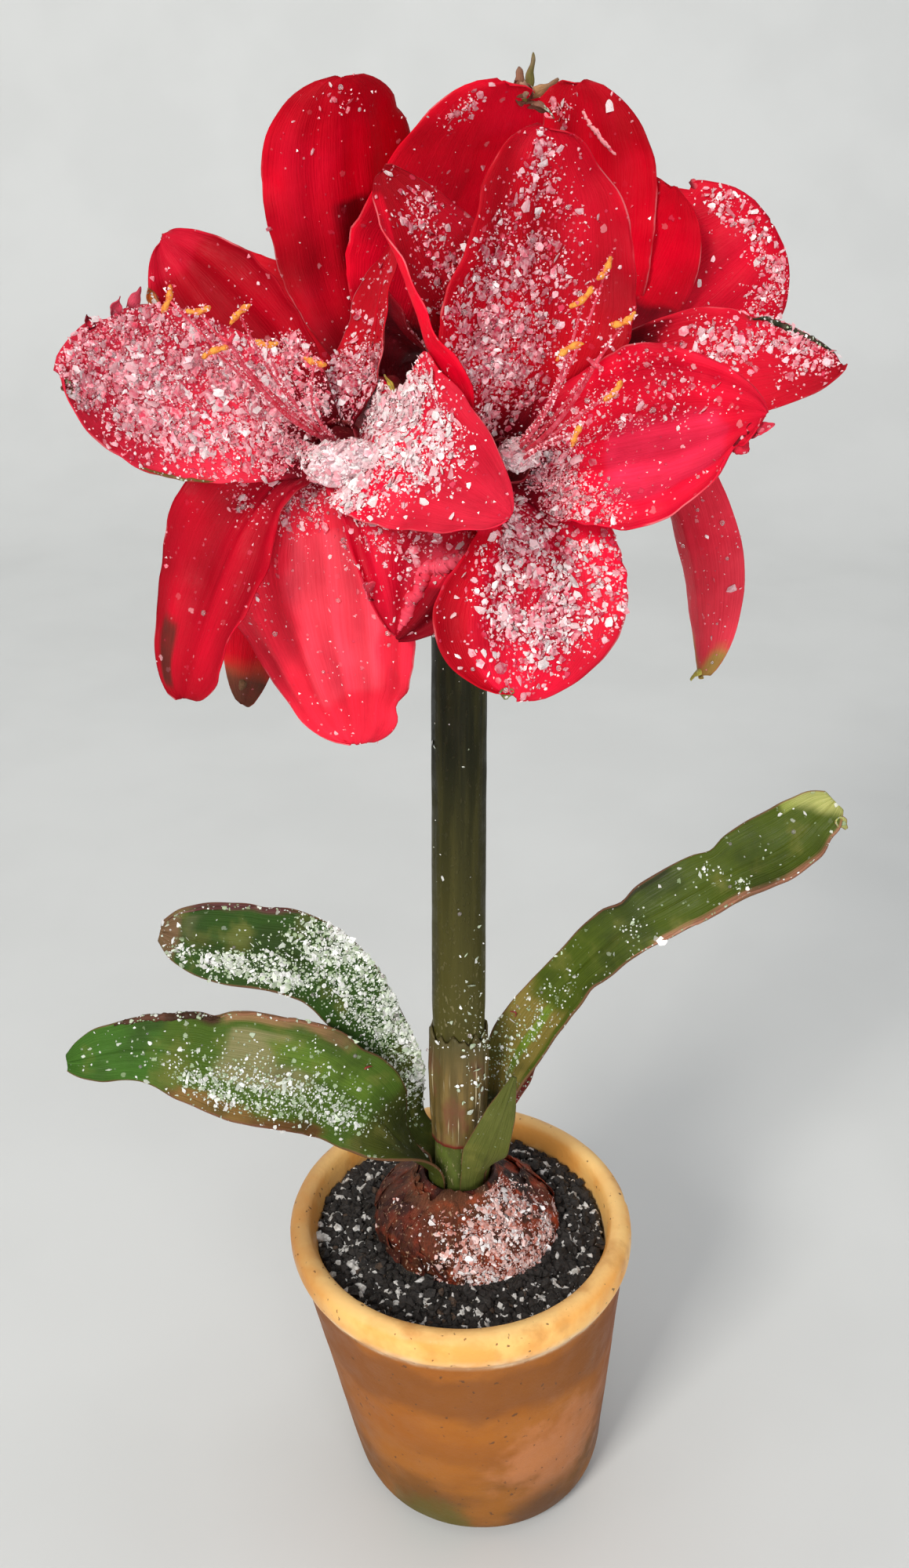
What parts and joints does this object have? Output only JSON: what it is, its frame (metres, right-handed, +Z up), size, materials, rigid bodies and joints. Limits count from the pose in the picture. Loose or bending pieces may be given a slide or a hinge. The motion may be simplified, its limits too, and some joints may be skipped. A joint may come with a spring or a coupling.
{
  "type": "amaryllis in a pot",
  "caption": "Flowering amaryllis in a clay pot: trumpet blooms with stamens on one thick stem, strap leaves and a half-buried bulb; stands on its flat base.",
  "frame": {"origin": "on the surface that the pot stands on, straight under the middle of the pot's rim", "axes": "+Z up along the stem; -Y is the side that the front bloom faces; +X is to the right seen from there"},
  "size_m": [0.2384, 0.1768, 0.4695],
  "materials": {
    "terracotta": "matt, worn",
    "soil": "crumbly",
    "bulb_skin": "papery",
    "stem_green": "satin",
    "sleeve_brown": "papery",
    "leaf_green": "satin",
    "leaf_red": "satin",
    "bract_brown": "papery",
    "petal_red": "velvety"
  },
  "bodies": {
    "root": {"pot": "terracotta", "soil": "soil", "bulb": "bulb_skin", "stem": "stem_green", "stem_sleeve": "sleeve_brown", "leaf_upper_left": "leaf_green", "leaf_lower_left": "leaf_green", "leaf_right": "leaf_green", "leaf_short": "leaf_green", "leaf_back": "leaf_red", "spathe_left": "bract_brown", "spathe_right": "bract_brown", "bloom_front": "petal_red", "bloom_left": "petal_red", "bloom_back_left": "petal_red", "bloom_back_right": "petal_red"}
  },
  "joints": []
}
